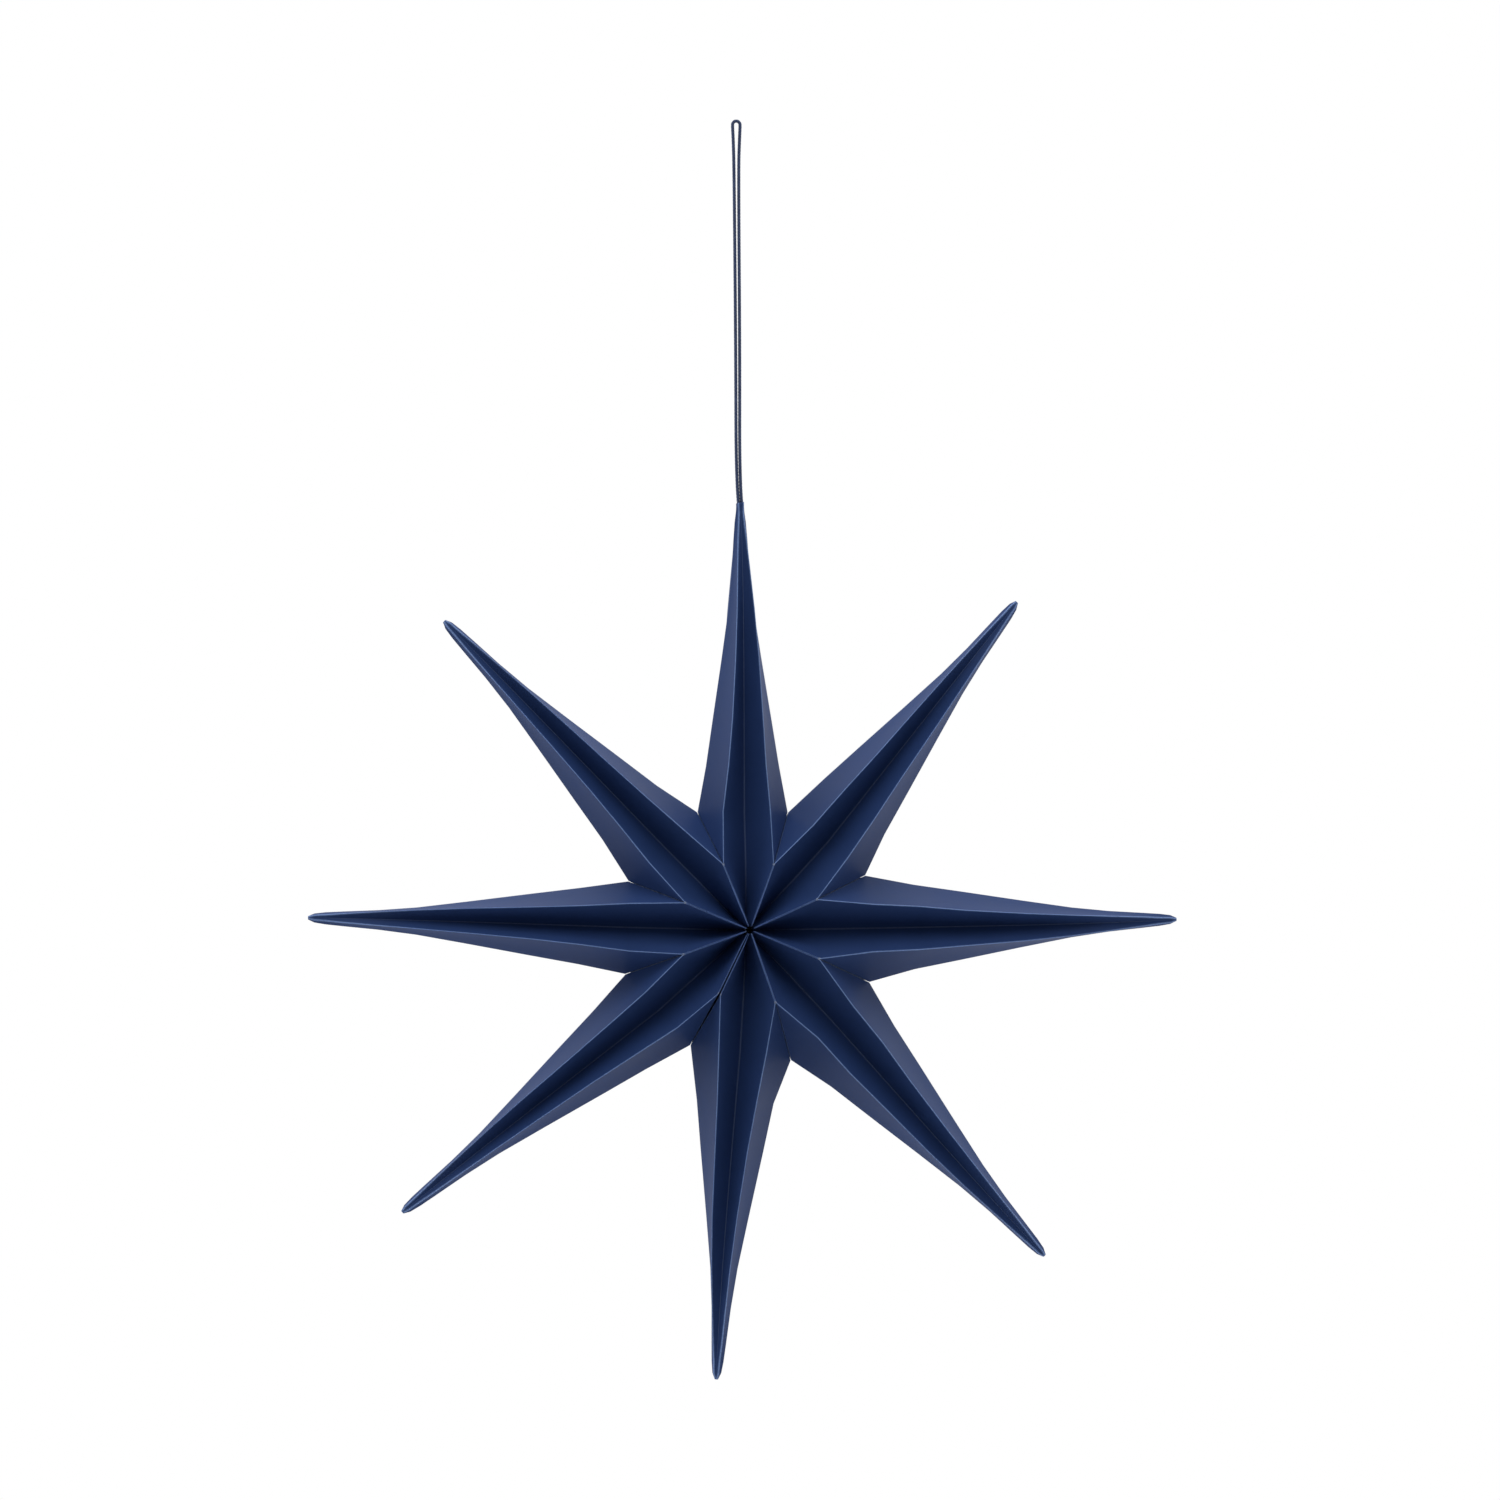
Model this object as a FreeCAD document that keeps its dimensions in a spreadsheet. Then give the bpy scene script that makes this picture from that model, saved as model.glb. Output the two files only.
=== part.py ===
import FreeCAD, Part
import math
import os
import Sketcher
from FreeCAD import Placement, Rotation, Vector

# An eight-pointed paper star on a doubled cord.
#
# Eight hollow rays are folded from card and glued wall to wall about one centre line, like the
# pages of a fan.  One seam stays unglued: its magnets hold the fan open as a full circle.
#
# The frame is in millimetres: +Z up, the star's face towards -Y, and the origin on the inside of
# the cord's loop, where it hangs on its hook.

doc = FreeCAD.newDocument("paper_star")

# ------------------------------------------------------------------ driving dimensions

# The rays in clockwise order, as a person facing the star sees them.
RAYS = ["top", "upper_right", "right", "lower_right", "bottom", "lower_left", "left", "upper_left"]

# Each ray with the wall after it: the wall's azimuth and how far out its notch lies, then the
# azimuth and the radius of the ray's own tip.  Azimuths are anticlockwise from +X.
FAN = {
    "top": (69.7, 65.1, 90.6, 219.8),
    "upper_right": (24.3, 69.0, 50.2, 221.9),
    "right": (-22.5, 70.3, 1.45, 225.5),
    "lower_right": (-70.3, 71.4, -47.2, 229.6),
    "bottom": (-115.3, 65.7, -93.6, 231.7),
    "lower_left": (-159.8, 65.8, -140.6, 228.1),
    "left": (-202.8, 65.3, -181.6, 225.0),
    "upper_left": (-248.1, 65.8, -225.7, 222.4),
}

DIMENSIONS = {
    # where the star hangs under its loop
    "centre_x": 4.3,
    "centre_z": -419.0,
    # the card, and half the space between two glued walls and at the open seam
    "card_thickness": 0.3,
    "glue_half_gap": 0.15,
    "seam_half_gap": 0.6,
    # the bare hole down the middle of the fan, where the open seam's walls come closer
    "hole_radius": 2.0,
    "hole_seam_half_gap": 0.3,
    # a section of the glued walls near the hole, where the folds' layers part
    "hub_radius": 8.5,
    # where a ridge leaves the wall, as a share of the wall's length
    "vertex_share": 0.55,
    # sections along a free spike, as shares of the way from its notch to its tip
    "waist_share": 0.30,
    "neck_share": 0.66,
    "tip_share": 0.945,
    # half of the star's depth at the ridges
    "centre_ridge_depth": 34.0,
    "hub_ridge_depth": 33.5,
    "vertex_ridge_depth": 31.0,
    "notch_ridge_depth": 24.0,
    "waist_ridge_depth": 19.0,
    "neck_ridge_depth": 9.0,
    "tip_ridge_depth": 2.2,
    "end_ridge_depth": 1.5,
    # half of the depth that the two valley folds leave between them
    "centre_valley_depth": 20.0,
    "hub_valley_depth": 9.5,
    "vertex_valley_depth": 11.6,
    "notch_valley_depth": 8.0,
    "waist_valley_depth": 6.0,
    "neck_valley_depth": 4.0,
    "tip_valley_depth": 1.7,
    "end_valley_depth": 1.3,
    # half of the width between the ridges, and of the whole ray, beyond the notch
    "notch_ridge_width": 12.2,
    "waist_ridge_width": 8.4,
    "neck_ridge_width": 5.0,
    "tip_ridge_width": 2.4,
    "end_ridge_width": 1.7,
    "waist_edge_width": 16.8,
    "neck_edge_width": 7.2,
    "tip_edge_width": 3.1,
    "end_edge_width": 1.9,
    # the double-sided adhesive film between two walls
    "film_thickness": 0.2,
    "film_start": 8.0,
    "film_inset": 1.5,
    # the seam's disc magnets
    "magnet_radius": 4.0,
    "magnet_thickness": 1.0,
    "magnet_reach": 42.0,
    "magnet_depth": 13.0,
    "magnet_clearance": 0.1,
    # the cord and its knot
    "cord_diameter": 1.65,
    "cord_end_height": 1.05,
    "stem_radius": 0.9,
    "stem_length": 24.0,
    "knot_radius": 1.9,
    "tail_radius": 0.8,
    "tail_length": 6.0,
    "tail_lean": 12.0,
}

sheet = doc.addObject("Spreadsheet::Sheet", "Dimensions")
for ray, values in FAN.items():
    for word, value in zip(("wall_azimuth", "notch_radius", "tip_azimuth", "tip_radius"), values):
        DIMENSIONS[f"{ray}_{word}"] = value
for row, (alias, value) in enumerate(DIMENSIONS.items(), start=1):
    sheet.set(f"A{row}", alias.replace("_", " "))
    sheet.set(f"B{row}", str(value))
    sheet.setAlias(f"B{row}", alias)
doc.recompute()


def size(alias):
    """A dimension as the sheet holds it."""
    return float(sheet.get(alias))


def bind(item, **cells):
    """Binds an object's properties to expressions of the sheet's cells."""
    for name, words in cells.items():
        item.setExpression(name, words)


def cell(alias):
    return f"Dimensions.{alias}"


centre = Vector(size("centre_x"), 0, size("centre_z"))

# Turns the plane that the fan is drawn in upright, so that its own +Z faces the viewer.
face = Placement(centre, Rotation(Vector(1, 0, 0), 90))


def turned(azimuth):
    """The upright fan's frame with its x axis along an azimuth."""
    return face * Placement(Vector(), Rotation(Vector(0, 0, 1), azimuth))


# ------------------------------------------------------------------ the folded rays

# A ray's section has eight corners, going round from the edge on its anticlockwise side.  Each
# corner is the name of its sizes, its side and its face.
CORNERS = [
    ("edge", 1, 0),
    ("ridge", 1, 1),
    ("valley", 0, 1),
    ("ridge", -1, 1),
    ("edge", -1, 0),
    ("ridge", -1, -1),
    ("valley", 0, -1),
    ("ridge", 1, -1),
]


def walls_of(ray):
    """The azimuths and notch radii of a ray's walls, anticlockwise and clockwise, and their gaps.

    The gaps come twice: at the hole, and further out.
    """
    before = RAYS[RAYS.index(ray) - 1]
    whole_turn = 360 if ray == RAYS[0] else 0
    azimuths = (size(f"{before}_wall_azimuth") + whole_turn, size(f"{ray}_wall_azimuth"))
    radii = (size(f"{before}_notch_radius"), size(f"{ray}_notch_radius"))
    glued = size("glue_half_gap")
    hole_gaps = [size("hole_seam_half_gap") if wall == "bottom" else glued for wall in (before, ray)]
    gaps = [size("seam_half_gap") if wall == "bottom" else glued for wall in (before, ray)]
    return azimuths, radii, hole_gaps, gaps


def ray_sections(ray):
    """The ray's middle azimuth, and its outer sections from the centre to the tip's end."""
    azimuths, notch_radii, hole_gaps, gaps = walls_of(ray)
    middle = sum(azimuths) / 2
    half_angle = math.radians(azimuths[0] - azimuths[1]) / 2

    def on_wall(radius, side, gaps):
        """Where a wall's outer face is at a radius: out along the ray, and across it."""
        gap = gaps[0] if side > 0 else gaps[1]
        out = radius * math.cos(half_angle) + gap * math.sin(half_angle)
        across = radius * math.sin(half_angle) - gap * math.cos(half_angle)
        return out, side * across

    def wall_section(stage, radii, gaps):
        """A section whose edges and ridges both lie on the glued walls."""
        section = []
        for kind, side, front in CORNERS:
            ends = [on_wall(radii[0], 1, gaps), on_wall(radii[1], -1, gaps)]
            if kind == "valley":
                out, across = (ends[0][0] + ends[1][0]) / 2, 0
            else:
                out, across = ends[0] if side > 0 else ends[1]
            depth = 0 if kind == "edge" else size(f"{stage}_{kind}_depth")
            section.append(Vector(out, across, front * depth))
        return section

    share = size("vertex_share")
    vertex_radii = [share * radius for radius in notch_radii]
    notch_ends = [on_wall(notch_radii[0], 1, gaps), on_wall(notch_radii[1], -1, gaps)]
    notch_out = (notch_ends[0][0] + notch_ends[1][0]) / 2
    lean = math.radians(size(f"{ray}_tip_azimuth") - middle)
    tip_out = size(f"{ray}_tip_radius") * math.cos(lean)
    tip_across = size(f"{ray}_tip_radius") * math.sin(lean)

    def free_section(stage, way):
        """A section of the free spike, a share of the way from the notch to the tip."""
        out = notch_out + way * (tip_out - notch_out)
        section = []
        for kind, side, front in CORNERS:
            across = way * tip_across
            if stage == "notch" and kind == "edge":
                section.append(Vector(*notch_ends[0 if side > 0 else 1], 0))
                continue
            if kind != "valley":
                across += side * size(f"{stage}_{kind}_width")
            depth = 0 if kind == "edge" else size(f"{stage}_{kind}_depth")
            section.append(Vector(out, across, front * depth))
        return section

    hole, hub = size("hole_radius"), size("hub_radius")
    sections = [
        wall_section("centre", (hole, hole), hole_gaps),
        wall_section("hub", (hub, hub), gaps),
        wall_section("vertex", vertex_radii, gaps),
    ]
    sections.append(free_section("notch", 0))
    sections += [free_section(stage, size(f"{stage}_share")) for stage in ("waist", "neck", "tip")]
    sections.append(free_section("end", 1))
    return middle, sections


def inset(section, thickness):
    """A section's corners moved inwards, so that each of its sides moves by the card's thickness.

    At a valley fold the corner moves no further than the thickness, as a sharp fold would reach
    past the ray's middle.
    """
    inner = []
    for at, corner in enumerate(section):
        before = corner - section[at - 1]
        after = section[(at + 1) % len(section)] - corner
        before, after = Vector(0, before.y, before.z), Vector(0, after.y, after.z)
        before.normalize()
        after.normalize()
        inwards = Vector(0, -before.z, before.y), Vector(0, -after.z, after.y)
        step = (inwards[0] + inwards[1]) * (thickness / (1 + inwards[0].dot(inwards[1])))
        folds_in = before.cross(after).x < 0
        if folds_in and step.Length > thickness:
            step *= thickness / step.Length
        inner.append(corner + step)
    return inner


def triangle(*corners):
    return Part.Face(Part.makePolygon([*corners, corners[0]]))


def skin(sections):
    """The triangles between a ray's sections.  Their diagonals run from each ridge outwards."""
    faces = []
    for near, far in zip(sections, sections[1:]):
        for at in range(len(near)):
            after = (at + 1) % len(near)
            if at % 2 == 0:
                faces.append(triangle(near[at], near[after], far[at]))
                faces.append(triangle(near[after], far[after], far[at]))
            else:
                faces.append(triangle(near[at], near[after], far[after]))
                faces.append(triangle(near[at], far[after], far[at]))
    return faces


def rim(outer, inner):
    """The card's cut edge at an open end."""
    faces = []
    for at in range(len(outer)):
        after = (at + 1) % len(outer)
        faces.append(triangle(outer[at], outer[after], inner[at]))
        faces.append(triangle(outer[after], inner[after], inner[at]))
    return faces


def cap(section):
    """Closes a section's end flat."""
    middle = sum(section, Vector()) * (1 / len(section))
    pairs = zip(section, section[1:] + section[:1])
    return [triangle(middle, first, second) for first, second in pairs]


def folded_ray(ray):
    """One ray: a single folded card, open at the hole, and at the tip where the cord goes in."""
    middle, outer = ray_sections(ray)
    thickness = size("card_thickness")
    inner = [inset(section, thickness) for section in outer]
    faces = rim(outer[0], inner[0])
    if ray == "top":
        faces += rim(outer[-1], inner[-1])
    else:
        inner[-1] = [corner - Vector(thickness, 0, 0) for corner in inner[-1]]
        faces += cap(outer[-1]) + cap(inner[-1])
    faces += skin(outer) + skin(inner)
    solid = Part.Solid(Part.Shell(faces))
    if solid.Volume < 0:
        solid.reverse()
    feature = doc.addObject("Part::Feature", f"ray_{ray}")
    feature.Shape = solid
    feature.Placement = turned(middle)
    return feature


rays = [folded_ray(ray) for ray in RAYS]

# ------------------------------------------------------------------ the adhesive films


def adhesive_film(ray):
    """The double-sided film on the wall after a ray: a five-cornered sheet, thin across the wall."""
    body = doc.addObject("PartDesign::Body", f"film_{ray}")
    plane = next(item for item in body.Origin.OriginFeatures if item.Role == "XY_Plane")
    sketch = body.newObject("Sketcher::SketchObject", f"film_outline_{ray}")
    sketch.AttachmentSupport = (plane, [""])
    sketch.MapMode = "FlatFace"
    notch, vertex = size(f"{ray}_notch_radius"), size(f"{ray}_notch_radius") * size("vertex_share")
    start, depth, shoulder = size("film_start"), size("centre_ridge_depth"), size("vertex_ridge_depth")
    outline = [(start, depth), (vertex, shoulder), (notch, 0), (vertex, -shoulder), (start, -depth)]
    corners = [Vector(x, y, 0) for x, y in outline]
    for first, second in zip(corners, corners[1:] + corners[:1]):
        sketch.addGeometry(Part.LineSegment(first, second))
    for line in range(len(corners)):
        sketch.addConstraint(Sketcher.Constraint("Coincident", line, 2, (line + 1) % len(corners), 1))
    inset_by = cell("film_inset")
    bound = {
        (0, "DistanceX"): cell("film_start"),
        (0, "DistanceY"): f"{cell('vertex_ridge_depth')} - {inset_by}",
        (1, "DistanceX"): f"{cell(ray + '_notch_radius')} * {cell('vertex_share')} - {inset_by}",
        (1, "DistanceY"): f"{cell('vertex_ridge_depth')} - {inset_by}",
        (2, "DistanceX"): f"{cell(ray + '_notch_radius')} - 2 * {inset_by}",
    }
    for (corner, direction), words in bound.items():
        value = outline[corner][0 if direction == "DistanceX" else 1]
        number = sketch.addConstraint(Sketcher.Constraint(direction, -1, 1, corner, 1, value))
        sketch.setExpression(f"Constraints[{number}]", words)
    sketch.addConstraint(Sketcher.Constraint("PointOnObject", 2, 1, -1))
    sketch.addConstraint(Sketcher.Constraint("Symmetric", 1, 1, 3, 1, -1))
    sketch.addConstraint(Sketcher.Constraint("Symmetric", 0, 1, 4, 1, -1))
    pad = body.newObject("PartDesign::Pad", f"film_pad_{ray}")
    pad.Profile = sketch
    pad.SideType = "Symmetric"
    bind(pad, Length=cell("film_thickness"))
    body.Placement = turned(size(f"{ray}_wall_azimuth")) * Placement(Vector(), Rotation(Vector(1, 0, 0), 90))
    return body


films = [adhesive_film(ray) for ray in RAYS if ray != "bottom"]

# ------------------------------------------------------------------ the seam's magnets


def seam_magnets(name, side):
    """Two disc magnets, glued to the inside of one of the seam's walls."""
    discs = []
    for number, front in enumerate((1, -1)):
        disc = doc.addObject("Part::Cylinder", f"{name}_{number}")
        bind(disc, Radius=cell("magnet_radius"), Height=cell("magnet_thickness"))
        inner_face = f"{cell('seam_half_gap')} + {cell('card_thickness')} + {cell('magnet_clearance')}"
        bind(
            disc,
            **{
                "Placement.Base.x": cell("magnet_reach"),
                "Placement.Base.y": f"{front} * {cell('magnet_depth')}",
                "Placement.Base.z": inner_face,
            },
        )
        discs.append(disc)
    pair = doc.addObject("Part::Compound", name)
    pair.Links = discs
    over = Rotation(Vector(1, 0, 0), 90 * side)
    pair.Placement = turned(size("bottom_wall_azimuth")) * Placement(Vector(), over)
    return pair


# Turned by -90 degrees about the wall's own line, the discs stand on its anticlockwise side.
magnets = [seam_magnets("seam_magnets_bottom", -1), seam_magnets("seam_magnets_lower_left", 1)]

# ------------------------------------------------------------------ the cord's knot


def tip_end():
    """The middle of the open end of the top ray."""
    middle, sections = ray_sections("top")
    end = sum(sections[-1], Vector()) * (1 / len(sections[-1]))
    return turned(middle).multVec(end)


tip = tip_end()


def cord_knot():
    """The tied ends inside the top ray: a tight stem down from the tip, a knot and two tails.

    The stem's head is a ball about the point that the star tilts on, so it tilts in its own space.
    """
    head = doc.addObject("Part::Sphere", "knot_head")
    bind(head, Radius=cell("stem_radius"))
    stem = doc.addObject("Part::Cylinder", "knot_stem")
    bind(stem, Radius=cell("stem_radius"), Height=cell("stem_length"))
    bind(stem, **{"Placement.Base.z": f"-{cell('stem_length')}"})
    knot = doc.addObject("Part::Sphere", "knot_ball")
    bind(knot, Radius=cell("knot_radius"))
    bind(knot, **{"Placement.Base.z": f"-{cell('stem_length')}"})
    pieces = [head, stem, knot]
    for number, lean in enumerate((size("tail_lean"), -size("tail_lean"))):
        tail = doc.addObject("Part::Cylinder", f"knot_tail_{number}")
        bind(tail, Radius=cell("tail_radius"), Height=cell("tail_length"))
        tail.Placement = Placement(Vector(0, 0, -size("stem_length")), Rotation(Vector(0, 1, 0), 180 + lean))
        pieces.append(tail)
    whole = doc.addObject("Part::MultiFuse", "cord_knot")
    whole.Shapes = pieces
    whole.Placement = Placement(tip, Rotation())
    return whole


knot = cord_knot()

# ------------------------------------------------------------------ the hanging cord

# One cord, doubled: up from the tip, over the hook in a tight bend and down again.  It carries
# the star, so its strands are straight but for the places where they touch.
LEFT_STRAND = [(-0.1, -185), (-0.25, -120), (-1.15, -24), (-1.62, -8)]
BIGHT = [(-1.95, -2.3), (-1.95, -0.35), (-0.82, 0.825), (0.82, 0.825), (1.95, -0.35), (1.97, -2.3)]
RIGHT_STRAND = [(1.7, -8), (1.15, -24), (1.85, -120), (1.7, -185)]
STRAND_AT_TIP = 0.84
ARC_SHARE = 0.45


def cord_route():
    """The cord's route, from the tip's left side over the hook to its right side."""
    height = tip.z + size("cord_end_height")
    ends = [Vector(tip.x + side * STRAND_AT_TIP, 0, height) for side in (-1, 1)]
    between = [Vector(x, 0, z) for x, z in LEFT_STRAND + BIGHT + RIGHT_STRAND]
    return [ends[0], *between, ends[1]]


def rounded_path(points):
    """Straight runs joined by arcs, each as large as its two runs allow.  Prints the radii."""
    edges, radii, start = [], [], points[0]
    for before, corner, after in zip(points, points[1:], points[2:]):
        back, forth = before - corner, after - corner
        shorter = min(back.Length, forth.Length)
        back.normalize()
        forth.normalize()
        half_turn = (math.pi - back.getAngle(forth)) / 2
        radius = ARC_SHARE * shorter / math.tan(half_turn)
        radii.append(round(radius, 2))
        setback = ARC_SHARE * shorter
        inwards = back + forth
        inwards.normalize()
        top = corner + inwards * (radius / math.cos(half_turn) - radius)
        first, last = corner + back * setback, corner + forth * setback
        edges.append(Part.LineSegment(start, first).toShape())
        edges.append(Part.Arc(first, top, last).toShape())
        start = last
    edges.append(Part.LineSegment(start, points[-1]).toShape())
    print("arc radii of the cord, mm:", radii)
    return Part.Wire(edges)


def hanging_cord():
    route = cord_route()
    spine = doc.addObject("Part::Feature", "cord_spine")
    spine.Shape = rounded_path(route)
    section = doc.addObject("Part::Circle", "cord_section")
    bind(section, Radius=f"{cell('cord_diameter')} / 2")
    section.Placement = Placement(route[0], Rotation(Vector(0, 0, 1), route[1] - route[0]))
    cord = doc.addObject("Part::Sweep", "hanging_cord")
    cord.Sections = [section]
    cord.Spine = (spine, [f"Edge{number + 1}" for number in range(len(spine.Shape.Edges))])
    cord.Solid = True
    return cord


cord = hanging_cord()

# ------------------------------------------------------------------ checks and files

doc.recompute()
for item in doc.Objects:
    if "Invalid" in item.State or "Error" in item.State:
        raise RuntimeError(f"{item.Label} failed: {item.State}")

sub_parts = [*rays, *films, *magnets, knot, cord]
os.makedirs("parts", exist_ok=True)
for item in sub_parts:
    shape = item.Shape
    if shape.isNull() or not shape.isValid():
        raise RuntimeError(f"{item.Label} has no valid shape")
    print(f"{item.Label}: {len(shape.Solids)} solid, {shape.Volume:.1f} cubic mm")

section_area = math.pi * size("cord_diameter") ** 2 / 4
cord_length = doc.getObject("cord_spine").Shape.Length
swept = cord.Shape.Volume / (section_area * cord_length)
print(f"cord length {cord_length:.1f} mm, volume over section times length {swept:.4f}")

for item in sub_parts:
    item.Shape.exportStep(f"parts/{item.Label}.step")
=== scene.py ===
import math

import bmesh
import bpy
from mathutils import Matrix, Vector


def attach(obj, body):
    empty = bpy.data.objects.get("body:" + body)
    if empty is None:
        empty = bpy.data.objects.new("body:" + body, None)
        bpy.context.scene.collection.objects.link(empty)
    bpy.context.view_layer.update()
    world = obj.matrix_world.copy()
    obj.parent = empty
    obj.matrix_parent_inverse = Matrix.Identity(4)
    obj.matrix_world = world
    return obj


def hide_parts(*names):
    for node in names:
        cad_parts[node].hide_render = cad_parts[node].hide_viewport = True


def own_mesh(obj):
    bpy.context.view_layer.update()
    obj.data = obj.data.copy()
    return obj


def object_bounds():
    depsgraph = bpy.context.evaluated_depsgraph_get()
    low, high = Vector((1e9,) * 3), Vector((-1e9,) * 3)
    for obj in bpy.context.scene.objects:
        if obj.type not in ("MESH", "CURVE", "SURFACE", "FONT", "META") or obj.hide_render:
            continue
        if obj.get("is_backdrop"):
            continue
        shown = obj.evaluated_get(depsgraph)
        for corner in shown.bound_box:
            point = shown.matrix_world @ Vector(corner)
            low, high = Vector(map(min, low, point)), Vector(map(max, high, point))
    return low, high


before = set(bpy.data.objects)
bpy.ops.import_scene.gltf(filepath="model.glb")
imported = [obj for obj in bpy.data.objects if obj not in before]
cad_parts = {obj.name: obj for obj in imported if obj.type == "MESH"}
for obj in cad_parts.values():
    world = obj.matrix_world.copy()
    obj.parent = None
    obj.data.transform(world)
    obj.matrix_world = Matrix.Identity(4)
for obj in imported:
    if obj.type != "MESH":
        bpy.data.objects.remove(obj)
cad_low, cad_high = (corner.copy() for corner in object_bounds())

# ---------------------------------------------------------------- the camera
# A long lens far off, a little to the star's left and a little below its middle, level across.
# It takes in the whole hanging piece, from the cord's loop down to the bottom tip.

MM = 0.001
look_at = (cad_low + cad_high) / 2 + Vector((2.6, 0, -1.5)) * MM
camera_azimuth, camera_elevation = math.radians(-5), math.radians(-2)
camera_distance = 3.0
picture_width = 0.7759

towards_camera = Vector((
    math.sin(camera_azimuth) * math.cos(camera_elevation),
    -math.cos(camera_azimuth) * math.cos(camera_elevation),
    math.sin(camera_elevation),
))
camera = bpy.data.objects.new("camera", bpy.data.cameras.new("camera"))
bpy.context.scene.collection.objects.link(camera)
camera.location = look_at + towards_camera * camera_distance
camera.rotation_mode = "QUATERNION"
camera.rotation_quaternion = (-towards_camera).to_track_quat("-Z", "Y")
camera.data.lens = camera.data.sensor_width * camera_distance / picture_width
bpy.context.scene.camera = camera

# ---------------------------------------------------------------- the hanging cord
# One thin three-ply cotton cord, doubled: both ends are tied inside the top ray, and the bight
# hangs over a hook.  The star's weight pulls it straight; its strands touch just above the tip.

cord_diameter = 1.65 * MM
cord_route = [
    (1.16, -198.16), (-0.1, -185), (-0.25, -120), (-1.15, -24), (-1.62, -8),
    (-1.95, -2.3), (-1.95, -0.35), (-0.82, 0.825), (0.82, 0.825), (1.95, -0.35),
    (1.97, -2.3), (1.7, -8), (1.15, -24), (1.85, -120), (1.7, -185), (2.84, -198.16),
]
ply_pitch = 5.2 * MM
ring_step = 0.45 * MM
points_round = 18
plies = 3
# the radius in the grooves between the plies, what a ply adds, and what its slow swelling adds
groove_share, ply_share, swell_share = 0.94, 0.11, 0.01
swell_waves = 330, 119
weld_distance = 1e-6


def new_piece(name, bm, *materials):
    """The finished bmesh as an object at the origin, smooth but for its marked folds."""
    mesh = bpy.data.meshes.new(name)
    for face in bm.faces:
        face.smooth = True
    bm.to_mesh(mesh)
    bm.free()
    for material in materials:
        mesh.materials.append(material)
    piece = bpy.data.objects.new(name, mesh)
    bpy.context.scene.collection.objects.link(piece)
    return piece


def spline_points(route):
    """The points of the smooth curve that the route's corners, in millimetres, pull along."""
    curve = bpy.data.curves.new("cord_line", "CURVE")
    curve.dimensions = "3D"
    spline = curve.splines.new("NURBS")
    spline.points.add(len(route) - 1)
    for point, (x, z) in zip(spline.points, route):
        point.co = (x * MM, 0, z * MM, 1)
    spline.order_u = 3
    spline.use_endpoint_u = True
    curve.resolution_u = 24
    line = bpy.data.objects.new("cord_line", curve)
    bpy.context.scene.collection.objects.link(line)
    bpy.context.view_layer.update()
    flat = bpy.data.meshes.new_from_object(line)
    points = [vertex.co.copy() for vertex in flat.vertices]
    bpy.data.objects.remove(line)
    bpy.data.curves.remove(curve)
    bpy.data.meshes.remove(flat)
    return points


def at_length(points, lengths, reach):
    """The point and direction of a line at a length along it."""
    number = 1
    while number < len(points) - 1 and lengths[number] < reach:
        number += 1
    start, end = points[number - 1], points[number]
    share = (reach - lengths[number - 1]) / (lengths[number] - lengths[number - 1])
    return start.lerp(end, share), (end - start).normalized()


def laid_cord(points):
    """A flat net rolled up round the line, with three plies that wind along it."""
    lengths = [0.0]
    for before, after in zip(points, points[1:]):
        lengths.append(lengths[-1] + (after - before).length)
    whole = lengths[-1]
    rings = round(whole / ring_step)
    bm = bmesh.new()
    bmesh.ops.create_grid(bm, x_segments=points_round, y_segments=rings, size=0.5)
    net = bm.loops.layers.uv.new("UVMap")
    for face in bm.faces:
        for loop in face.loops:
            loop[net].uv = (loop.vert.co.x + 0.5, (loop.vert.co.y + 0.5) * whole / ply_pitch)
    places = {}
    for vertex in bm.verts:
        reach = (vertex.co.y + 0.5) * whole
        key = round(reach, 7)
        if key not in places:
            places[key] = at_length(points, lengths, min(reach, whole))
        middle, direction = places[key]
        angle = (vertex.co.x + 0.5) * math.tau
        ply = angle - reach / ply_pitch * math.tau
        swell = 0.5 + 0.5 * math.sin(reach * swell_waves[0]) * math.sin(reach * swell_waves[1])
        round_ply = abs(math.cos(plies / 2 * ply))
        radius = cord_diameter / 2 * (
            groove_share + ply_share * round_ply + swell_share * swell
        )
        side = direction.cross(Vector((0, 1, 0)))
        outward = side * math.cos(angle) + Vector((0, 1, 0)) * math.sin(angle)
        vertex.co = middle + outward * radius
    bmesh.ops.remove_doubles(bm, verts=bm.verts, dist=weld_distance)
    bmesh.ops.holes_fill(bm, edges=[edge for edge in bm.edges if edge.is_boundary])
    bmesh.ops.recalc_face_normals(bm, faces=bm.faces)
    return bm


def node_tree_of(name):
    """A new material with an empty sheet of nodes, its shader and its output."""
    material = bpy.data.materials.new(name)
    material.use_nodes = True
    tree = material.node_tree
    tree.nodes.clear()
    shader = tree.nodes.new("ShaderNodeBsdfPrincipled")
    output = tree.nodes.new("ShaderNodeOutputMaterial")
    tree.links.new(shader.outputs["BSDF"], output.inputs["Surface"])
    return material, tree, shader


def add_node(tree, kind, values=(), **settings):
    """A node with its settings, its input values and its input links."""
    node = tree.nodes.new(kind)
    for name, value in settings.items():
        setattr(node, name, value)
    for name, value in dict(values).items():
        if isinstance(value, bpy.types.NodeSocket):
            tree.links.new(value, node.inputs[name])
        else:
            node.inputs[name].default_value = value
    return node


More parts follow.
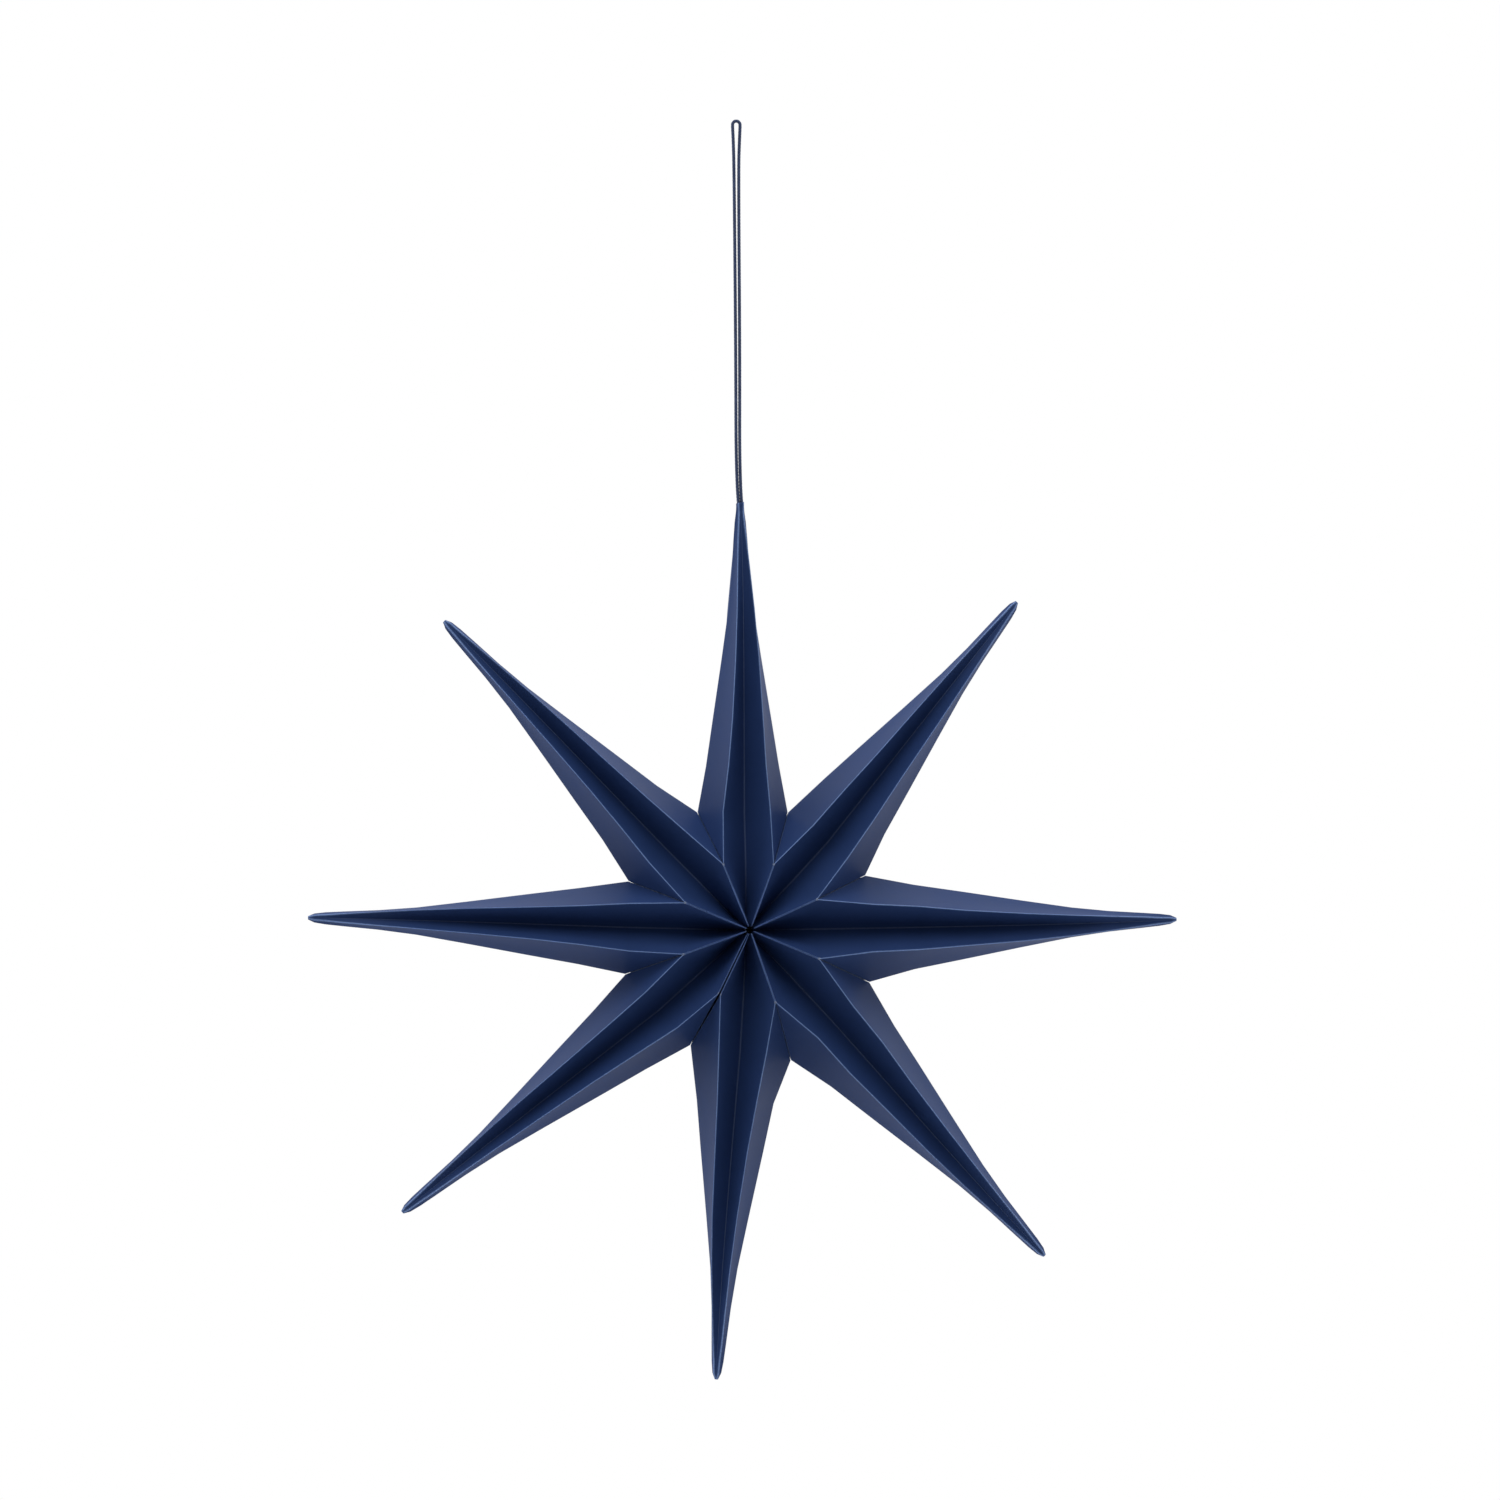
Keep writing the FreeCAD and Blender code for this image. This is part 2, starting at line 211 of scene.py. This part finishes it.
def new_group(name, inputs, outputs):
    """A shader node group with named number sockets, and its two end nodes."""
    group = bpy.data.node_groups.new(name, "ShaderNodeTree")
    for words, value in inputs.items():
        socket = group.interface.new_socket(words, in_out="INPUT", socket_type="NodeSocketFloat")
        socket.default_value = value
    for words in outputs:
        group.interface.new_socket(words, in_out="OUTPUT", socket_type="NodeSocketFloat")
    return group, group.nodes.new("NodeGroupInput"), group.nodes.new("NodeGroupOutput")


def add_group(tree, group, values=()):
    """A group's node, with its input values and links."""
    return add_node(tree, "ShaderNodeGroup", values, node_tree=group)


def two_tone(tree, mask, dark, light, start=0.0, end=1.0):
    """A colour that goes from dark to light as a mask goes from start to end."""
    ramp = add_node(tree, "ShaderNodeValToRGB", {"Fac": mask})
    for element, position, colour in zip(ramp.color_ramp.elements, (start, end), (dark, light)):
        element.position = position
        element.color = (*colour, 1)
    return ramp.outputs["Color"]


def stretched(tree, value, low, high):
    """A value from 0 to 1, moved to lie between low and high."""
    spread = add_node(
        tree, "ShaderNodeMapRange", {"Value": value, "To Min": low, "To Max": high}
    )
    return spread.outputs["Result"]


def bumps(tree, height, strength, distance):
    """The normal of a surface with a fine relief."""
    relief = add_node(
        tree, "ShaderNodeBump", {"Height": height, "Strength": strength, "Distance": distance}
    )
    return relief.outputs["Normal"]


# Fibres and mottling, for the cord, the card, the film and the nickel: fine felted hairs as a
# height, and soft clouds as a mask.
fibre_group, fibre_in, fibre_out = new_group(
    "fibres", {"Hair Scale": 1800.0, "Cloud Scale": 60.0}, ["Height", "Cloud"]
)
place = add_node(fibre_group, "ShaderNodeTexCoord").outputs["Object"]
hairs = add_node(
    fibre_group, "ShaderNodeTexNoise",
    {"Vector": place, "Scale": fibre_in.outputs["Hair Scale"], "Detail": 3.0, "Distortion": 1.4},
)
clouds = add_node(
    fibre_group, "ShaderNodeTexNoise",
    {"Vector": place, "Scale": fibre_in.outputs["Cloud Scale"], "Detail": 4.0, "Roughness": 0.6},
)
fibre_group.links.new(hairs.outputs["Fac"], fibre_out.inputs["Height"])
fibre_group.links.new(clouds.outputs["Fac"], fibre_out.inputs["Cloud"])


def cotton(name, yarn_scale, net=None):
    """Dyed cotton yarn, fuzzy and matt, over the cord's own net or over a piece's own place."""
    material, tree, shader = node_tree_of(name)
    fibres = add_group(tree, fibre_group, {"Hair Scale": 5200.0, "Cloud Scale": 260.0})
    if net:
        over = add_node(tree, "ShaderNodeUVMap", uv_map=net).outputs["UV"]
    else:
        over = add_node(tree, "ShaderNodeTexCoord").outputs["Object"]
    laid = add_node(tree, "ShaderNodeMapping", {"Vector": over, "Scale": yarn_scale})
    yarns = add_node(
        tree, "ShaderNodeTexNoise", {"Vector": laid.outputs["Vector"], "Scale": 1.0, "Detail": 2.0}
    )
    shade = add_node(
        tree, "ShaderNodeMath",
        {0: yarns.outputs["Fac"], 1: fibres.outputs["Cloud"]}, operation="ADD",
    )
    # the two noises add up to about 1, and the ramp takes half of that
    shade = add_node(tree, "ShaderNodeMath", {0: shade.outputs[0], 1: 0.5}, operation="MULTIPLY")
    dye = two_tone(
        tree, shade.outputs[0], (0.036, 0.056, 0.140), (0.086, 0.126, 0.260), 0.36, 0.66
    )
    tree.links.new(dye, shader.inputs["Base Color"])
    fuzz = bumps(tree, yarns.outputs["Fac"], 0.6, 0.12 * MM)
    tree.links.new(fuzz, shader.inputs["Normal"])
    shader.inputs["Roughness"].default_value = 0.82
    shader.inputs["Sheen Weight"].default_value = 0.12
    shader.inputs["Sheen Roughness"].default_value = 0.5
    return material


cord_cotton = cotton("cord_cotton", (30.0, 5.0, 1.0), "UVMap")
knot_cotton = cotton("knot_cotton", (6000.0, 6000.0, 1500.0))
cord_line = spline_points(cord_route)
cord = new_piece("cord", laid_cord(cord_line), cord_cotton)
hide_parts("hanging_cord")
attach(cord, "cord")

# The tied ends keep their place inside the top ray, in the same cotton.
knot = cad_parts["cord_knot"]
knot.data.materials.clear()
knot.data.materials.append(knot_cotton)

# ---------------------------------------------------------------- the folded rays
# Eight hollow rays, each one sheet of navy card 0.3 mm thick, scored, folded and glued wall to
# wall round an open hole.  Folding has rubbed the ridges pale, and the ridges and side folds also
# carry a painted highlight.  No two rays are quite alike.

card_thickness = 0.3 * MM
fan_middle = Vector((4.3, 0, -419)) * MM
hole_radius, hub_radius = 2.0 * MM, 8.5 * MM
glue_half_gap, seam_half_gap, hole_seam_half_gap = 0.15 * MM, 0.6 * MM, 0.3 * MM
# how far out a ridge's vertex is, as a share of its wall's notch
vertex_share = 0.55
# how a fold is rounded, how finely a ray is cut, and the angle from which an edge stays sharp
fold_radius, fold_segments = 0.38 * MM, 3
grid_cuts = 3
sharp_angle = math.radians(35)
# a free panel's crown, which starts clear of the glued wall and fades towards the tip
panel_crown = 0.45 * MM
flat_margin, crown_rise = 0.9 * MM, 5 * MM
crown_end, crown_fade = 0.215, 0.06
# the card's layers are pressed thin at the hole, and full again this far out
press_reach, pressed_share = 10 * MM, 0.25
# a ray's own breadth comes in past the notch and goes before the tip, as shares of the way
breadth_start, breadth_end = 0.15, 0.3
# what counts as on a fold, what stands for far from one, and the narrower lines on glued walls
on_fold = 1e-7
off_side_fold, off_valley = 0.02, 0.01
glued_reach = 2.0

# Clockwise as seen from the front.  Each ray's name, the azimuth and notch radius of the wall
# after it, the azimuth and radius of its tip, its breadth, and how far its outer end is twisted.
fan = [
    ("top", 69.7, 65.1, 90.6, 219.8, 0.94, -13),
    ("upper_right", 24.3, 69.0, 50.2, 221.9, 1.05, 1),
    ("right", -22.5, 70.3, 1.45, 225.5, 1.08, -12),
    ("lower_right", -70.3, 71.4, -47.2, 229.6, 1.12, -11),
    ("bottom", -115.3, 65.7, -93.6, 231.7, 0.98, -17),
    ("lower_left", -159.8, 65.8, -140.6, 228.1, 1.0, -8),
    ("left", -202.8, 65.3, -181.6, 225.0, 0.97, -6),
    ("upper_left", -248.1, 65.8, -225.7, 222.4, 0.98, -5),
]

# The free part of a ray, from its notch to its tip: share of the way, half width at the side
# folds, half width, half depth at the ridges, half depth at the valley, and share of the twist.
profile = [
    (0.00, None, 12.2, 24.0, 8.0, 0.0),
    (0.15, 20.3, 10.3, 21.8, 7.1, 0.15),
    (0.30, 16.5, 8.5, 18.8, 6.0, 0.35),
    (0.50, 11.3, 6.6, 13.6, 4.9, 0.65),
    (0.66, 7.3, 5.0, 9.1, 4.0, 0.9),
    (0.78, 5.2, 3.7, 5.9, 3.3, 1.0),
    (0.89, 3.9, 2.4, 3.5, 2.5, 1.0),
    (0.945, 3.2, 1.6, 2.4, 2.1, 1.0),
    (0.98, 2.4, 1.25, 1.8, 1.65, 1.0),
]
closed_end = (1.0, 0.9, 0.5, 1.0, 0.95, 1.0)
open_end = (1.0, 2.1, 1.6, 1.9, 1.7, 1.0)
# the top ray's open end has a lip in front and behind, over the cord's two ends
lip_rises = [0, 1.3, 1.5, 1.9, 0, 1.3, 1.5, 1.3]
wall_depths = [("hole", 34.0, 20.0), ("hub", 33.5, 9.5), ("vertex", 31.0, 11.6)]


def section_corners(edge, ridge, ridge_depth, valley_depth):
    """A section's eight folds as (across, depth), from the side fold anticlockwise of it."""
    return [
        (edge, 0), (ridge, ridge_depth), (0, valley_depth), (-ridge, ridge_depth),
        (-edge, 0), (-ridge, -ridge_depth), (0, -valley_depth), (ridge, -ridge_depth),
    ]


def ray_stations(number):
    """A ray's middle azimuth, half angle and sections, as corners (out, across, depth)."""
    name, wall, notch, tip_azimuth, tip_radius, breadth, twist = fan[number]
    name_before, wall_before, notch_before = fan[number - 1][:3]
    if number == 0:
        wall_before += 360
    middle = (wall + wall_before) / 2
    half_angle = math.radians(wall_before - wall) / 2
    walls = (name_before, name)

    def on_wall(radius, side, closed=False):
        """The place (out, across) on one of the ray's two walls, clear of the neighbour's."""
        gap = glue_half_gap
        if walls[0 if side > 0 else 1] == "bottom" and not closed:
            gap = hole_seam_half_gap if radius < hub_radius else seam_half_gap
        out = radius * math.cos(half_angle) + gap * math.sin(half_angle)
        return out, side * (radius * math.sin(half_angle) - gap * math.cos(half_angle))

    stations = []
    reaches = {
        "hole": (hole_radius, hole_radius),
        "hub": (hub_radius, hub_radius),
        "vertex": (vertex_share * notch_before * MM, vertex_share * notch * MM),
    }
    for stage, ridge_depth, valley_depth in wall_depths:
        ends = on_wall(reaches[stage][0], 1), on_wall(reaches[stage][1], -1)
        between = (ends[0][0] + ends[1][0]) / 2
        corners = []
        for across, depth in section_corners(1, 1, ridge_depth, valley_depth):
            if across:
                out, across = ends[0] if across > 0 else ends[1]
            else:
                out = between
            corners.append(Vector((out, across, depth * MM)))
        stations.append(corners)

    # the open seam narrows to its notch
    notch_ends = on_wall(notch_before * MM, 1, True), on_wall(notch * MM, -1, True)
    notch_out = (notch_ends[0][0] + notch_ends[1][0]) / 2
    lean = math.radians(tip_azimuth - middle)
    tip_out = tip_radius * MM * math.cos(lean)
    tip_across = tip_radius * MM * math.sin(lean)
    end = open_end if name == "top" else closed_end
    for share, edge, ridge, ridge_depth, valley_depth, turn in profile + [end]:
        out = notch_out + share * (tip_out - notch_out)
        wide = 1 + (breadth - 1) * min(1, share / breadth_start, (1 - share) / breadth_end)
        angle = math.radians(twist * turn)
        corners = []
        for across, depth in section_corners(edge or 1, ridge, ridge_depth, valley_depth):
            if edge is None and depth == 0:
                corners.append(Vector((*notch_ends[0 if across > 0 else 1], 0)))
                continue
            across, depth = across * wide * MM, depth * MM
            turned_across = across * math.cos(angle) + depth * math.sin(angle)
            turned_depth = depth * math.cos(angle) - across * math.sin(angle)
            corners.append(Vector((out, share * tip_across + turned_across, turned_depth)))
        stations.append(corners)
    if name == "top":
        for corner, rise in zip(stations[-1], lip_rises):
            corner.x += rise * MM
    return middle, half_angle, stations


def clamped(value):
    """The value, kept between 0 and 1."""
    return min(1.0, max(0.0, value))


def mark_corners(ring, marks, stage):
    """Writes how far each corner of a section lies from its folds, for the rubbed lines and
    the painted highlights along the ridges and side folds.

    Beyond the notch (stage 3) the side folds are creases.  One crease more runs there from each
    ridge's vertex (stage 2).
    """
    for at, vertex in enumerate(ring):
        ridge = at % 2 == 1
        side_fold = at % 4 == 0 and stage > 2 or ridge and stage == 2
        beside = ring[at - 1] if ridge else ring[(at + 1) % 8]
        reach = (vertex.co - beside.co).length
        vertex[marks["from_ridge"]] = 0.0 if ridge else reach * (glued_reach if stage < 3 else 1.0)
        vertex[marks["from_side"]] = 0.0 if side_fold else off_side_fold
        vertex[marks["from_valley"]] = 0.0 if at in (2, 6) else off_valley
        vertex[marks["panel"]] = 0.0 if ridge else 1.0


def folded_ray(number):
    """One ray, drawn out from its hole section by section, then creased, crowned and rounded."""
    middle, half_angle, stations = ray_stations(number)
    bm = bmesh.new()
    words = ("from_ridge", "from_side", "from_valley", "from_vertex", "panel")
    marks = {word: bm.verts.layers.float.new(word) for word in words}
    ring = [bm.verts.new(corner) for corner in stations[0]]
    loop = [bm.edges.new((ring[at], ring[(at + 1) % 8])) for at in range(8)]
    mark_corners(ring, marks, 0)
    rings = [ring]
    for stage, corners in enumerate(stations[1:], start=1):
        made = bmesh.ops.extrude_edge_only(bm, edges=loop)["geom"]
        fresh = [item for item in made if isinstance(item, bmesh.types.BMVert)]
        ring = [min(fresh, key=lambda v: (v.co - old.co).length_squared) for old in ring]
        for vertex, corner in zip(ring, corners):
            vertex.co = corner
        loop = [bm.edges.get((ring[at], ring[(at + 1) % 8])) for at in range(8)]
        mark_corners(ring, marks, stage)
        rings.append(ring)
    if fan[number][0] != "top":
        bmesh.ops.edgeloop_fill(bm, edges=loop)
    # the glued wall ends in a crease from each ridge's vertex to its notch
    for ridge, edge in ((1, 0), (3, 4), (5, 4), (7, 0)):
        bmesh.ops.connect_verts(bm, verts=[rings[2][ridge], rings[3][edge]])
    ridge_vertices = [rings[2][at].co.copy() for at in (1, 3, 5, 7)]
    bmesh.ops.subdivide_edges(bm, edges=bm.edges, cuts=grid_cuts, use_grid_fill=True)
    for vertex in bm.verts:
        vertex[marks["from_vertex"]] = min(
            (vertex.co - corner).length for corner in ridge_vertices
        )

    # a crown on the free panels; the glued walls stay flat
    bm.normal_update()
    sine, cosine = math.sin(half_angle), math.cos(half_angle)
    lifts = []
    for vertex in bm.verts:
        out, across = vertex.co.x, abs(vertex.co.y)
        to_wall = out * sine - across * cosine
        free = clamped((to_wall - flat_margin) / crown_rise)
        fading = clamped((crown_end - out) / crown_fade)
        share = vertex[marks["panel"]]
        lifts.append(panel_crown * 4 * share * (1 - share) * free * fading)
    for vertex, lift in zip(bm.verts, lifts):
        vertex.co += vertex.normal * lift

    # the folds are rounded by the card's own thickness
    def folds(*words):
        """The edges that lie on these kinds of fold, in the mesh's own order."""
        layers = [marks[word] for word in words]
        return [
            edge for edge in bm.edges
            if any(all(abs(end[layer]) < on_fold for end in edge.verts) for layer in layers)
        ]

    for edge in folds("from_valley"):
        edge.smooth = False
    crease = bmesh.ops.bevel(
        bm, geom=folds("from_ridge", "from_side"), offset=fold_radius,
        affect="EDGES", segments=fold_segments, profile=0.5, material=-1, clamp_overlap=True,
    )
    rounded = set(crease["faces"])
    for face in rounded:
        for edge in face.edges:
            if any(other not in rounded for other in edge.link_faces):
                edge.smooth = False
    for edge in bm.edges:
        if len(edge.link_faces) == 2 and edge.calc_face_angle(0) > sharp_angle:
            edge.smooth = False

    # the outer side faces out, and the ray turns upright to its place in the fan
    probe = max(bm.faces, key=lambda f: (f.calc_center_median().y, f.calc_area()))
    if probe.normal.y < 0:
        bmesh.ops.reverse_faces(bm, faces=bm.faces)
    upright = Matrix.Translation(fan_middle) @ Matrix.Rotation(math.pi / 2, 4, "X")
    bmesh.ops.transform(
        bm, matrix=upright @ Matrix.Rotation(math.radians(middle), 4, "Z"), verts=bm.verts
    )
    return bm, math.radians(middle)


# Rubbed folds and painted fold highlights, for the card's ridges, side folds, valleys and ridge
# vertices: a ragged line, full on the fold and gone a little way off it.  On the ridges and side
# folds the line is partly wear and partly painted highlight.
rub_and_highlight_group, rub_and_highlight_in, rub_and_highlight_out = new_group(
    "rubbed_and_highlit_fold", {"Distance": 1.0, "Width": 0.0008, "Raggedness": 0.0004}, ["Mask"]
)
rub_and_highlight_place = add_node(rub_and_highlight_group, "ShaderNodeTexCoord").outputs["Object"]
rub_and_highlight_noise = add_node(
    rub_and_highlight_group, "ShaderNodeTexNoise", {"Vector": rub_and_highlight_place, "Scale": 900.0, "Detail": 4.0}
)
rub_and_highlight_shift = add_node(
    rub_and_highlight_group, "ShaderNodeMath",
    {0: rub_and_highlight_noise.outputs["Fac"], 1: rub_and_highlight_in.outputs["Raggedness"], 2: rub_and_highlight_in.outputs["Distance"]},
    operation="MULTIPLY_ADD",
)
rub_and_highlight_fade = add_node(
    rub_and_highlight_group, "ShaderNodeMapRange",
    {
        "Value": rub_and_highlight_shift.outputs[0], "From Min": 0.0, "From Max": rub_and_highlight_in.outputs["Width"],
        "To Min": 1.0, "To Max": 0.0,
    },
    interpolation_type="SMOOTHSTEP",
)
rub_and_highlight_group.links.new(rub_and_highlight_fade.outputs["Result"], rub_and_highlight_out.inputs["Mask"])

navy_card, tree, shader = node_tree_of("navy_card")
fibres = add_group(tree, fibre_group, {"Hair Scale": 1500.0, "Cloud Scale": 45.0})


def fold_distance(word):
    """The distance from a kind of fold, as the card's corners carry it."""
    return add_node(tree, "ShaderNodeAttribute", attribute_name=word).outputs["Fac"]


rubs_and_highlights = {
    word: add_group(
        tree, rub_and_highlight_group,
        {"Distance": fold_distance(word), "Width": width * MM, "Raggedness": ragged * MM},
    ).outputs["Mask"]
    for word, width, ragged in (
        ("from_ridge", 1.15, 0.35), ("from_side", 0.7, 0.35),
        ("from_valley", 0.6, 0.12), ("from_vertex", 1.7, 0.9),
    )
}
card_dye = two_tone(
    tree, fibres.outputs["Cloud"], (0.0275, 0.061, 0.190), (0.0305, 0.067, 0.210), 0.3, 0.75
)


def tinted(base, mask, strength, colour):
    """The colour so far, turned towards another where a mask says."""
    part = add_node(tree, "ShaderNodeMath", {0: mask, 1: strength}, operation="MULTIPLY")
    mix = tree.nodes.new("ShaderNodeMix")
    mix.data_type = "RGBA"
    tree.links.new(part.outputs[0], mix.inputs["Factor"])
    tree.links.new(base, mix.inputs[6])
    mix.inputs[7].default_value = (*colour, 1)
    return mix.outputs[2]


# painted highlight: the ridge line is partly rubbed wear and partly painted light along the
# rounded ridge
colour = tinted(card_dye, rubs_and_highlights["from_ridge"], 0.92, (0.310, 0.475, 0.900))
# painted highlight: the side-fold line is partly rubbed wear and partly a painted rim of light
# along the folded edge
colour = tinted(colour, rubs_and_highlights["from_side"], 0.55, (0.220, 0.310, 0.520))
colour = tinted(colour, rubs_and_highlights["from_valley"], 0.7, (0.180, 0.240, 0.420))
colour = tinted(colour, rubs_and_highlights["from_vertex"], 0.85, (0.720, 0.800, 0.930))
shader.inputs["Specular IOR Level"].default_value = 0.13
tree.links.new(colour, shader.inputs["Base Color"])
card_rough = stretched(tree, fibres.outputs["Cloud"], 0.46, 0.60)
tree.links.new(card_rough, shader.inputs["Roughness"])
felt = bumps(tree, fibres.outputs["Height"], 0.28, 0.05 * MM)
tree.links.new(felt, shader.inputs["Normal"])

for number, values in enumerate(fan):
    name = values[0]
    bm, middle = folded_ray(number)
    ray = new_piece(f"ray_{name}_card", bm, navy_card)
    wall = ray.modifiers.new("card", "SOLIDIFY")
    wall.thickness = card_thickness
    wall.offset = -1.0
    wall.use_even_offset = False
    # the layers are pressed together round the hole
    pressed = ray.vertex_groups.new(name="card")
    for vertex in ray.data.vertices:
        out = (vertex.co - fan_middle).xz.length
        pressed.add([vertex.index], clamped((out - hole_radius) / press_reach), "REPLACE")
    wall.vertex_group = "card"
    wall.thickness_vertex_group = pressed_share
    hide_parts(f"ray_{name}")
    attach(ray, f"{name}_ray")
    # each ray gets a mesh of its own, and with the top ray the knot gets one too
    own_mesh(ray)
    if name == "top":
        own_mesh(knot)

# ---------------------------------------------------------------- the films between the walls
# Double-sided adhesive film, frosted and 0.2 mm thick, stuck between every two walls but the
# open seam's.  Only its cut edge shows, deep in each seam.

adhesive_film, tree, shader = node_tree_of("adhesive_film")
fibres = add_group(tree, fibre_group, {"Hair Scale": 700.0, "Cloud Scale": 120.0})
film_tint = two_tone(tree, fibres.outputs["Cloud"], (0.16, 0.20, 0.30), (0.30, 0.34, 0.44))
tree.links.new(film_tint, shader.inputs["Base Color"])
film_rough = stretched(tree, fibres.outputs["Height"], 0.22, 0.48)
tree.links.new(film_rough, shader.inputs["Roughness"])
ripples = bumps(tree, fibres.outputs["Cloud"], 0.3, 0.1 * MM)
tree.links.new(ripples, shader.inputs["Normal"])
for name, *_ in fan:
    if name != "bottom":
        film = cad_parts[f"film_{name}"]
        film.data.materials.clear()
        film.data.materials.append(adhesive_film)

# ---------------------------------------------------------------- the seam's magnets
# Two nickel-plated discs glued inside each wall of the open seam.  They pull it shut and hold
# the fan open as a full star.

nickel_plate, tree, shader = node_tree_of("nickel_plate")
fibres = add_group(tree, fibre_group, {"Hair Scale": 3000.0, "Cloud Scale": 300.0})
nickel_tint = two_tone(tree, fibres.outputs["Cloud"], (0.50, 0.48, 0.44), (0.68, 0.66, 0.62))
tree.links.new(nickel_tint, shader.inputs["Base Color"])
shader.inputs["Metallic"].default_value = 1.0
nickel_rough = stretched(tree, fibres.outputs["Cloud"], 0.18, 0.36)
tree.links.new(nickel_rough, shader.inputs["Roughness"])
scuffs = bumps(tree, fibres.outputs["Height"], 0.15, 0.02 * MM)
tree.links.new(scuffs, shader.inputs["Normal"])
for name in ("bottom", "lower_left"):
    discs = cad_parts[f"seam_magnets_{name}"]
    discs.data.materials.clear()
    discs.data.materials.append(nickel_plate)

# ---------------------------------------------------------------- the floor and the light
# A plain pale floor well below the hanging star, and one broad soft lamp over it.  The white
# surroundings are dim in front, bright at the sides and softer again right behind.

floor_drop, floor_half_width = 1.5, 1.4
bm = bmesh.new()
bmesh.ops.create_grid(bm, x_segments=8, y_segments=8, size=floor_half_width)
bmesh.ops.translate(bm, vec=(0, 0, cad_low.z - floor_drop), verts=bm.verts)
floor_paint, tree, shader = node_tree_of("floor_paint")
shader.inputs["Base Color"].default_value = (0.80, 0.80, 0.80, 1)
shader.inputs["Roughness"].default_value = 0.9
floor = new_piece("floor", bm, floor_paint)
floor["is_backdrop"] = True

surroundings = bpy.data.worlds.new("surroundings")
bpy.context.scene.world = surroundings
surroundings.use_nodes = True
tree = surroundings.node_tree
tree.nodes.clear()
direction = add_node(tree, "ShaderNodeTexCoord").outputs["Generated"]
parts = add_node(tree, "ShaderNodeSeparateXYZ", {"Vector": direction})


def from_side_to_side(axis, start, end, low, high, interpolation):
    """A strength that goes from low to high as the direction goes from start to end."""
    strength = add_node(
        tree, "ShaderNodeMapRange",
        {
            "Value": parts.outputs[axis], "From Min": start, "From Max": end,
            "To Min": low, "To Max": high,
        },
        interpolation_type=interpolation,
    )
    return strength.outputs["Result"]


front_dim = from_side_to_side("Y", -0.75, 0.65, 0.16, 1.80, "SMOOTHSTEP")
top_bright = from_side_to_side("Z", -1.0, 1.0, 0.70, 1.08, "LINEAR")
behind_soft = from_side_to_side("Y", 0.40, 0.95, 1.0, 0.45, "SMOOTHSTEP")
front_and_top = add_node(
    tree, "ShaderNodeMath", {0: front_dim, 1: top_bright}, operation="MULTIPLY"
)
strength = add_node(
    tree, "ShaderNodeMath", {0: front_and_top.outputs[0], 1: behind_soft}, operation="MULTIPLY"
)
lighting = add_node(
    tree, "ShaderNodeBackground", {"Color": (1, 1, 1, 1), "Strength": strength.outputs[0]}
)
seen = add_node(tree, "ShaderNodeBackground", {"Color": (1, 1, 1, 1), "Strength": 1.0})
camera_ray = add_node(tree, "ShaderNodeLightPath").outputs["Is Camera Ray"]
either = tree.nodes.new("ShaderNodeMixShader")
tree.links.new(camera_ray, either.inputs[0])
tree.links.new(lighting.outputs[0], either.inputs[1])
tree.links.new(seen.outputs[0], either.inputs[2])
world_output = tree.nodes.new("ShaderNodeOutputWorld")
tree.links.new(either.outputs[0], world_output.inputs["Surface"])

lamp = bpy.data.objects.new("soft_lamp", bpy.data.lights.new("soft_lamp", "AREA"))
bpy.context.scene.collection.objects.link(lamp)
lamp.data.shape = "RECTANGLE"
lamp.data.size, lamp.data.size_y = 1.6, 1.2
lamp.data.energy = 14.0
lamp.location = fan_middle + Vector((-0.3, -1.1, 1.9))
lamp.rotation_mode = "QUATERNION"
lamp.rotation_quaternion = (fan_middle - lamp.location).to_track_quat("-Z", "Y")
lamp.visible_camera = False
bpy.context.scene.view_settings.view_transform = "Standard"
